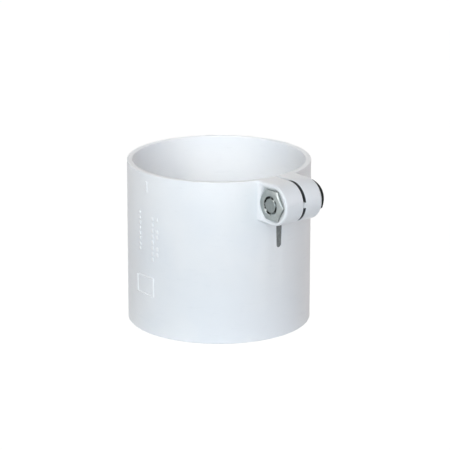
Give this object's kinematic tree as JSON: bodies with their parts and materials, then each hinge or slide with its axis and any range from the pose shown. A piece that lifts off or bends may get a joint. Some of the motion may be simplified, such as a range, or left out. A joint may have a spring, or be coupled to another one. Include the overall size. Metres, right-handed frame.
{
  "type": "vacuum pipe coupling",
  "caption": "Short moulded coupling tube with a pipe socket at each end and, at the upper end, a slit with a dark sealing strip and a clamp with a hexagon screw and captive nut.",
  "frame": {"origin": "on the tube's axis at its lower end face", "axes": "+Z along the tube towards the clamp end, +X from the axis to the clamp ears, Y along the clamp screw with the nut on the -Y side"},
  "size_m": [0.0969, 0.0807, 0.072],
  "materials": {
    "moulded_plastic": "satin white injection moulding",
    "sealing_rubber": "matt black moulded rubber",
    "zinc_plated_nut": "bright zinc plating",
    "zinc_plated_screw": "bright zinc plating"
  },
  "bodies": {
    "body": {"coupling_body": "moulded_plastic", "slit_seal": "sealing_rubber"},
    "nut": {"clamp_nut": "zinc_plated_nut"},
    "screw": {"clamp_screw": "zinc_plated_screw"}
  },
  "joints": [
    {"name": "screw_turn", "type": "hinge", "parent": "body", "child": "screw", "pos_m": [0.0477, 0, 0.063], "axis": [0, 1, 0], "range_deg": [0, 1440]},
    {"name": "nut_travel", "type": "slide", "parent": "body", "child": "nut", "axis": [0, -1, 0], "range_m": [0, 0.005]}
  ],
  "couplings": [
    {"joint": "nut_travel", "follows": "screw_turn", "m_per_rad": 0.00019894}
  ]
}
